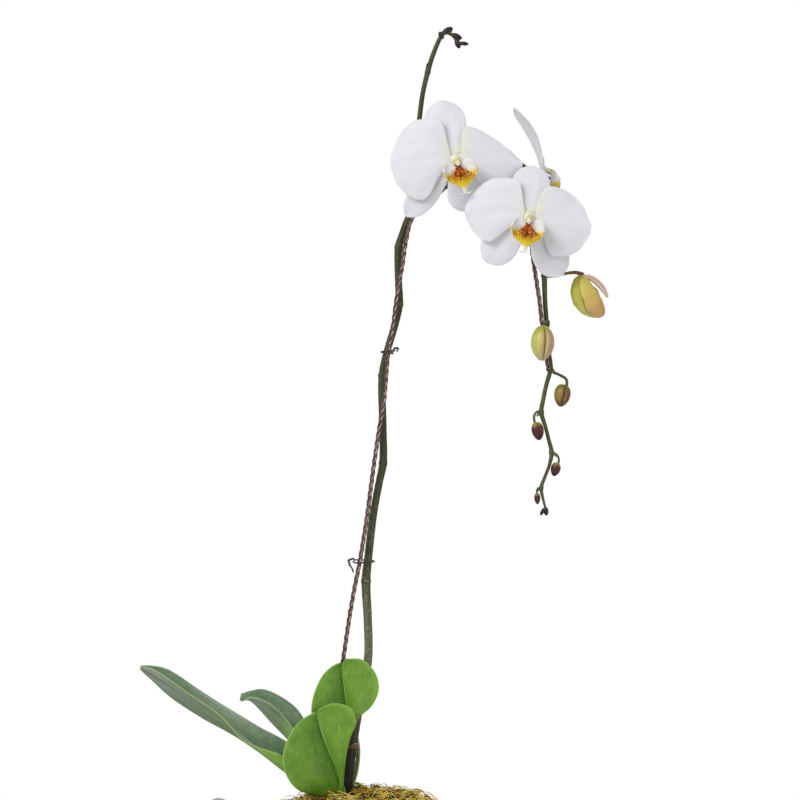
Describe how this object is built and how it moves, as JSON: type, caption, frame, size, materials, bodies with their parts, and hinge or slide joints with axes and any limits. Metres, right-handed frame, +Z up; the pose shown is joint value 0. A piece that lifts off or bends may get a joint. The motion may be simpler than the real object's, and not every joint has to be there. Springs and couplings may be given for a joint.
{
  "type": "potted orchid",
  "caption": "Moth orchid in a plain tapered glazed pot: broad strap leaves, one arching wired flower spike with white flowers and hanging buds, mossed top.",
  "frame": {"origin": "centre of the pot's flat underside", "axes": "+Z up along the pot's axis, +X towards the side the flower spike arches to, -Y towards the side the flowers face"},
  "size_m": [0.383, 0.155, 0.7755],
  "materials": {
    "pot_glaze": "gloss",
    "bark_mix": "rough",
    "moss_fibre": "dry fibre",
    "leaf_skin": "satin",
    "sheath_skin": "satin",
    "stem_skin": "satin",
    "wire_coat": "satin",
    "tie_coat": "satin",
    "root_skin": "matt",
    "bud_skin": "satin",
    "petal_flesh": "soft satin",
    "lip_flesh": "satin"
  },
  "bodies": {
    "root": {"pot": "pot_glaze", "potting_bark": "bark_mix", "moss": "moss_fibre", "crown": "stem_skin", "leaf_1": "leaf_skin", "leaf_2": "leaf_skin", "leaf_3": "leaf_skin", "leaf_4": "leaf_skin", "leaf_sheath": "sheath_skin", "flower_spike": "stem_skin", "spike_branch": "stem_skin", "support_wire": "wire_coat", "tie_lower": "tie_coat", "tie_upper": "tie_coat", "aerial_root": "root_skin", "bud_1": "bud_skin", "bud_2": "bud_skin", "bud_3": "bud_skin", "bud_4": "bud_skin", "bud_5": "bud_skin", "bud_6": "bud_skin", "flower_1_dorsal_sepal": "petal_flesh", "flower_1_petal_left": "petal_flesh", "flower_1_petal_right": "petal_flesh", "flower_1_lateral_sepal_left": "petal_flesh", "flower_1_lateral_sepal_right": "petal_flesh", "flower_1_lip": "lip_flesh", "flower_1_column": "petal_flesh", "flower_1_pedicel": "stem_skin", "flower_2_dorsal_sepal": "petal_flesh", "flower_2_petal_left": "petal_flesh", "flower_2_petal_right": "petal_flesh", "flower_2_lateral_sepal_left": "petal_flesh", "flower_2_lateral_sepal_right": "petal_flesh", "flower_2_lip": "lip_flesh", "flower_2_column": "petal_flesh", "flower_2_pedicel": "stem_skin", "flower_3_dorsal_sepal": "petal_flesh", "flower_3_petal_left": "petal_flesh", "flower_3_petal_right": "petal_flesh", "flower_3_lateral_sepal_left": "petal_flesh", "flower_3_lateral_sepal_right": "petal_flesh", "flower_3_lip": "lip_flesh", "flower_3_column": "petal_flesh", "flower_3_pedicel": "stem_skin"}
  },
  "joints": []
}
